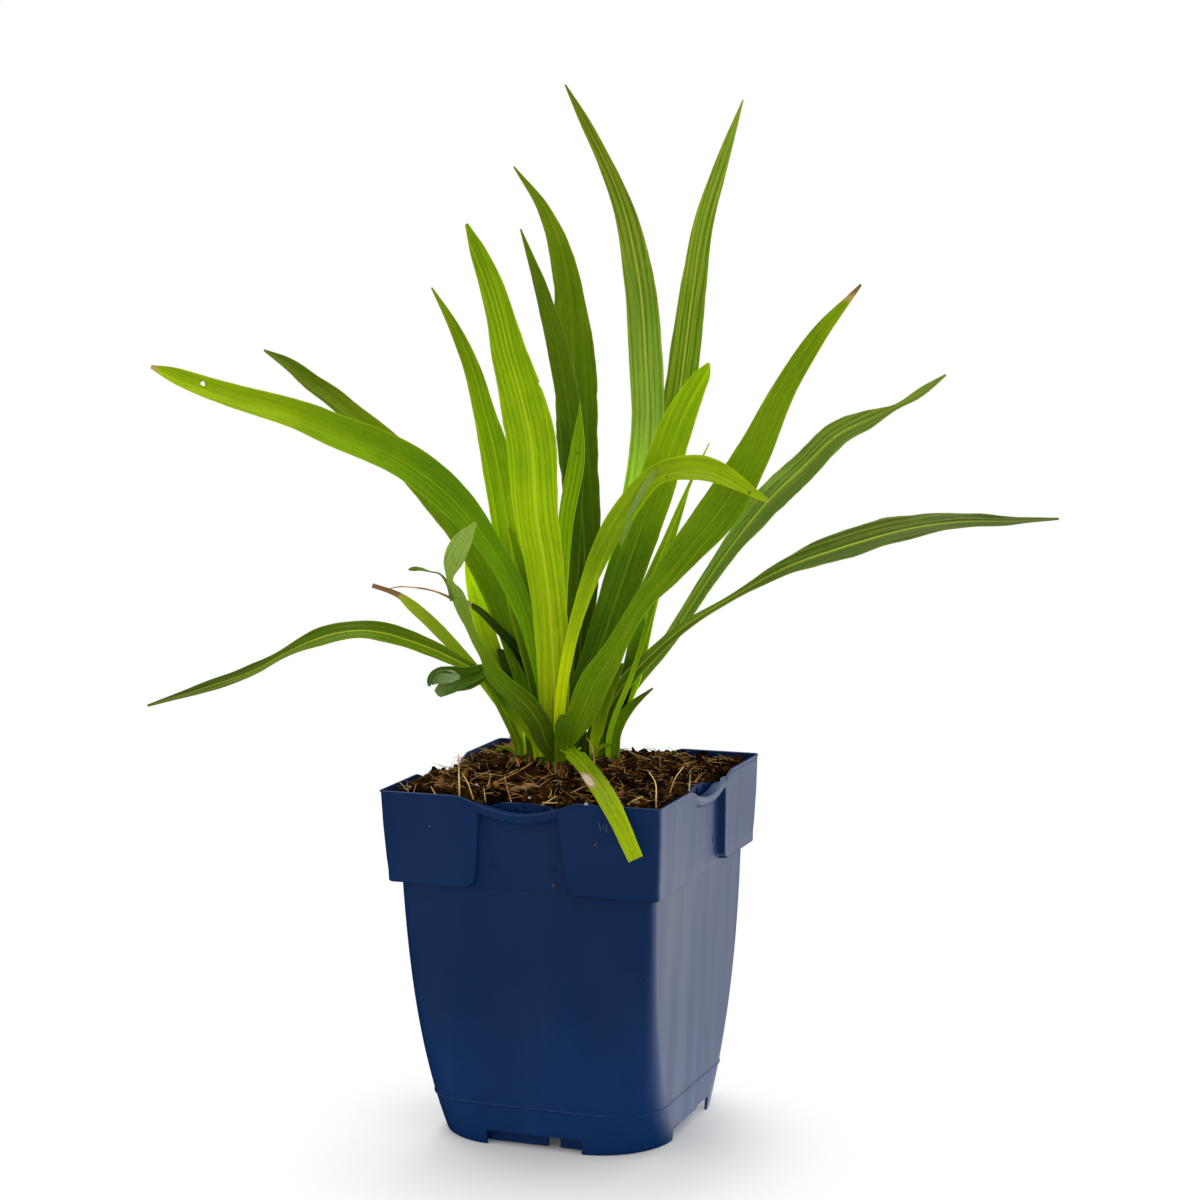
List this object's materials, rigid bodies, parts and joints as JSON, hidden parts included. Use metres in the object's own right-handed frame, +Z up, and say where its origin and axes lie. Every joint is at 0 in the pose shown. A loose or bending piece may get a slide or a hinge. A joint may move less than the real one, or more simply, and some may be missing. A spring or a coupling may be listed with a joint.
{
  "type": "potted blazing star",
  "caption": "Clump of green strap leaves growing in peaty soil in a square dark blue plastic nursery pot.",
  "frame": {"origin": "centre of the pot's base, on the surface the pot stands on", "axes": "+Z up along the pot's centre line, -Y towards the side that faces the viewer, with the long arching leaves to -X and +X"},
  "size_m": [0.2476, 0.1595, 0.3182],
  "materials": {
    "pot_plastic": "moulded dark blue, satin",
    "soil": "crumbly dark peat with pale straws",
    "leaf_sheath": "pale green leaf bases",
    "leaf_green": "satin green with fine parallel veins",
    "leaf_old": "dull green going brown"
  },
  "bodies": {
    "root": {"pot": "pot_plastic", "soil": "soil", "shoot_front": "leaf_sheath", "shoot_left": "leaf_sheath", "shoot_right": "leaf_sheath", "leaf_tall_centre": "leaf_green", "leaf_tall_right": "leaf_green", "leaf_back_dark": "leaf_green", "leaf_back_fork": "leaf_green", "leaf_bright_broad": "leaf_green", "leaf_left_narrow": "leaf_green", "leaf_left_arch": "leaf_green", "leaf_left_behind": "leaf_green", "leaf_round_tip": "leaf_green", "leaf_bent_over": "leaf_green", "leaf_big_right": "leaf_green", "leaf_right_wavy": "leaf_green", "leaf_right_low": "leaf_green", "leaf_low_left": "leaf_green", "leaf_brown_tip": "leaf_green", "leaf_folded_head": "leaf_green", "leaf_dark_short": "leaf_green", "leaf_curled_hook": "leaf_old", "leaf_lime_behind": "leaf_green", "leaf_small_bright": "leaf_green", "leaf_pale_midrib": "leaf_green", "blade_thin_left": "leaf_green", "blade_thin_right": "leaf_green", "leaf_small_right": "leaf_green", "leaf_stub": "leaf_old", "leaf_drooping_cut": "leaf_green", "leaf_small_round": "leaf_green", "leaf_dark_broad": "leaf_green", "leaf_dark_inner": "leaf_green", "leaf_inner_lime": "leaf_green", "leaf_inner_short": "leaf_green"}
  },
  "joints": []
}
